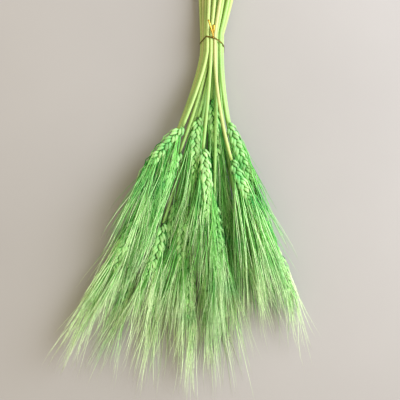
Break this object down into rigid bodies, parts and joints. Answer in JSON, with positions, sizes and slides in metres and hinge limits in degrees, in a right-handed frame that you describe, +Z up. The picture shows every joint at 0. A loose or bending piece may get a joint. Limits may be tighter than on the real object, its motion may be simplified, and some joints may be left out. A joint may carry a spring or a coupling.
{
  "type": "tied bunch of bearded wheat ears",
  "caption": "Bunch of dyed bearded wheat on long straws, laid down, fanned out from a twist tie with its ears and awns spread.",
  "frame": {"origin": "bottom centre of the bunch's box, on the surface it lies on", "axes": "+Y along the straws towards the cut ends, the ears towards -Y, +Z up from the surface"},
  "size_m": [0.29, 0.5336, 0.0436],
  "materials": {
    "straw": "satin",
    "ear": "matt",
    "foil": "gloss"
  },
  "bodies": {
    "root": {"straw_01": "straw", "ear_01": "ear", "straw_02": "straw", "ear_02": "ear", "straw_03": "straw", "ear_03": "ear", "straw_04": "straw", "ear_04": "ear", "straw_05": "straw", "ear_05": "ear", "straw_06": "straw", "ear_06": "ear", "straw_07": "straw", "ear_07": "ear", "straw_08": "straw", "ear_08": "ear", "straw_09": "straw", "ear_09": "ear", "straw_10": "straw", "ear_10": "ear", "straw_11": "straw", "ear_11": "ear", "straw_12": "straw", "ear_12": "ear", "straw_13": "straw", "ear_13": "ear", "straw_14": "straw", "ear_14": "ear", "straw_15": "straw", "ear_15": "ear", "straw_16": "straw", "ear_16": "ear", "straw_17": "straw", "ear_17": "ear", "straw_18": "straw", "ear_18": "ear", "straw_19": "straw", "ear_19": "ear", "straw_20": "straw", "ear_20": "ear", "straw_21": "straw", "ear_21": "ear", "straw_22": "straw", "ear_22": "ear", "straw_23": "straw", "ear_23": "ear", "straw_24": "straw", "ear_24": "ear", "straw_25": "straw", "ear_25": "ear", "straw_26": "straw", "ear_26": "ear", "straw_27": "straw", "ear_27": "ear", "straw_28": "straw", "ear_28": "ear", "tie": "foil"}
  },
  "joints": []
}
